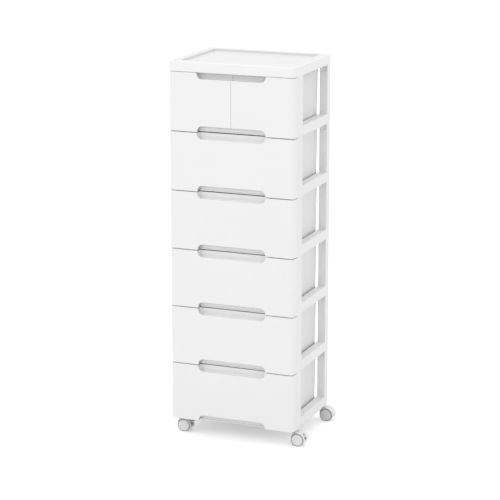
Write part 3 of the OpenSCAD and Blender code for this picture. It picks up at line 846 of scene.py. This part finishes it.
class TOWER_OT_pins(bpy.types.Operator):
    """Steel stems and axles of the casters"""
    bl_idname = "tower.pins"
    bl_label = "Stems and axles"

    def execute(self, context):
        w = settings().wheels
        steel = finish_of("steel")
        for position in POSITIONS:
            axle = f"caster_axle_{position}"
            low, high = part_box(axle)
            middle = (low + high) / 2
            points = axle_section((high.z - low.z) / 2, high.y - low.y)
            piece = turned_piece(axle + ".turned", softened(points, w.axle_corner),
                                 along_y(Vector((middle.x, low.y, middle.z))), steel,
                                 Steps=w.pin_steps)
            stand_for(piece, axle, steel)
            stem = f"caster_stem_{position}"
            low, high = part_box(stem)
            middle = (low + high) / 2
            points = stem_section(low.z, high.z, (high.x - low.x) / 2)
            piece = turned_piece(stem + ".turned", softened(points, w.stem_corner),
                                 Matrix.Translation((middle.x, middle.y, 0)), steel,
                                 Steps=w.pin_steps)
            stand_for(piece, stem, steel)
        return {"FINISHED"}


class TOWER_OT_stage(bpy.types.Operator):
    """Floor, light and camera"""
    bl_idname = "tower.stage"
    bl_label = "Stage"

    def execute(self, context):
        s = settings().stage
        make_floor(s)
        make_light(s)
        make_camera(s)
        return {"FINISHED"}


def make_floor(s):
    """A wide floor, lifted towards white where the camera sees it."""
    corners = [(x * FLOOR_REACH, y * FLOOR_REACH, 0)
               for x, y in ((-1, -1), (1, -1), (1, 1), (-1, 1))]
    mesh = bpy.data.meshes.new("floor")
    mesh.from_pydata(corners, [], [(0, 1, 2, 3)])
    floor = new_object("floor", mesh)
    material, tree = new_material("Pale floor")
    tree.nodes.clear()
    matt = node(tree, "ShaderNodeBsdfDiffuse", Color=(*settings().colours.floor, 1))
    glow = node(tree, "ShaderNodeEmission", Color=(1, 1, 1, 1), Strength=s.lift)
    nothing = node(tree, "ShaderNodeEmission", Strength=0.0)
    ray = node(tree, "ShaderNodeLightPath")
    seen = node(tree, "ShaderNodeMixShader",
                [(0, ray.outputs["Is Camera Ray"]), (1, nothing.outputs[0]), (2, glow.outputs[0])])
    both = node(tree, "ShaderNodeAddShader", [(0, matt.outputs[0]), (1, seen.outputs[0])])
    node(tree, "ShaderNodeOutputMaterial", [("Surface", both.outputs[0])])
    mesh.materials.append(material)


def make_light(s):
    """Even light from all round, which the camera and reflections see as white, and three lamps."""
    scene = bpy.context.scene
    scene.view_settings.view_transform = "Standard"
    world = bpy.data.worlds.new("Studio")
    scene.world = world
    world.use_nodes = True
    tree = world.node_tree
    tree.nodes.clear()
    white = node(tree, "ShaderNodeBackground", Color=(1, 1, 1, 1), Strength=1.0)
    sky = node(tree, "ShaderNodeBackground", Color=(1, 1, 1, 1), Strength=s.sky)
    ray = node(tree, "ShaderNodeLightPath")
    mirror = node(tree, "ShaderNodeMath",
                  [(0, ray.outputs["Is Glossy Ray"]), (1, ray.outputs["Is Transmission Ray"])],
                  operation="MAXIMUM")
    seen = node(tree, "ShaderNodeMath", [(0, ray.outputs["Is Camera Ray"]), (1, mirror.outputs[0])],
                operation="MAXIMUM")
    mix = node(tree, "ShaderNodeMixShader",
               [(0, seen.outputs[0]), (1, sky.outputs[0]), (2, white.outputs[0])])
    node(tree, "ShaderNodeOutputWorld", [("Surface", mix.outputs[0])])
    for key, place, width in LAMPS:
        lamp = bpy.data.lights.new(key + " lamp", "AREA")
        lamp.size = width
        lamp.energy = getattr(s, key)
        holder = new_object(key + " lamp", lamp)
        holder.location = place
        holder.rotation_euler = (AIM - place).to_track_quat("-Z", "Y").to_euler()


def make_camera(s):
    view = bpy.data.cameras.new("camera")
    view.lens = s.lens
    view.sensor_width = SENSOR_WIDTH
    view.clip_start, view.clip_end = CAMERA_RANGE
    holder = new_object("camera", view)
    holder.location = CAMERA_PLACE
    holder.rotation_euler = (math.pi / 2 - s.tilt, 0, s.turn)
    bpy.context.scene.camera = holder


class TOWER_PT_panel(bpy.types.Panel):
    """Lists the pieces and the settings of the drawer tower"""
    bl_idname = "TOWER_PT_panel"
    bl_label = "Drawer Tower"
    bl_space_type = "VIEW_3D"
    bl_region_type = "UI"
    bl_category = "Drawer Tower"

    def draw(self, context):
        s = settings()
        for group in (s.edges, s.colours, s.wheels, s.marks, s.stage):
            box = self.layout.box()
            for key in type(group).__annotations__:
                box.prop(group, key)
        for operator in OPERATORS:
            self.layout.operator(operator.bl_idname)


OPERATORS = (TOWER_OT_frame, TOWER_OT_cover, TOWER_OT_fronts, TOWER_OT_tubs, TOWER_OT_marks,
             TOWER_OT_casters, TOWER_OT_wheels, TOWER_OT_pins, TOWER_OT_stage)
CLASSES = (TowerEdges, TowerColours, TowerWheels, TowerMarks, TowerStage, TowerSettings) \
    + OPERATORS + (TOWER_PT_panel,)


def register():
    for cls in CLASSES:
        bpy.utils.register_class(cls)
    bpy.types.Scene.drawer_tower = PointerProperty(type=TowerSettings)


def unregister():
    del bpy.types.Scene.drawer_tower
    for cls in reversed(CLASSES):
        bpy.utils.unregister_class(cls)


def clear_start_scene():
    """Takes away what Blender's start file holds, so that only the frame is there."""
    kept = set(NODES.values()) | set(frame["bodies"].values())
    for thing in set(bpy.data.objects) - kept:
        bpy.data.objects.remove(thing)


def main():
    clear_start_scene()
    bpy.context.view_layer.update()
    register()
    bpy.ops.tower.frame()
    bpy.ops.tower.cover()
    bpy.ops.tower.fronts()
    bpy.ops.tower.tubs()
    bpy.ops.tower.marks()
    bpy.ops.tower.casters()
    bpy.ops.tower.wheels()
    bpy.ops.tower.pins()
    bpy.ops.tower.stage()


if __name__ == "__main__":
    main()
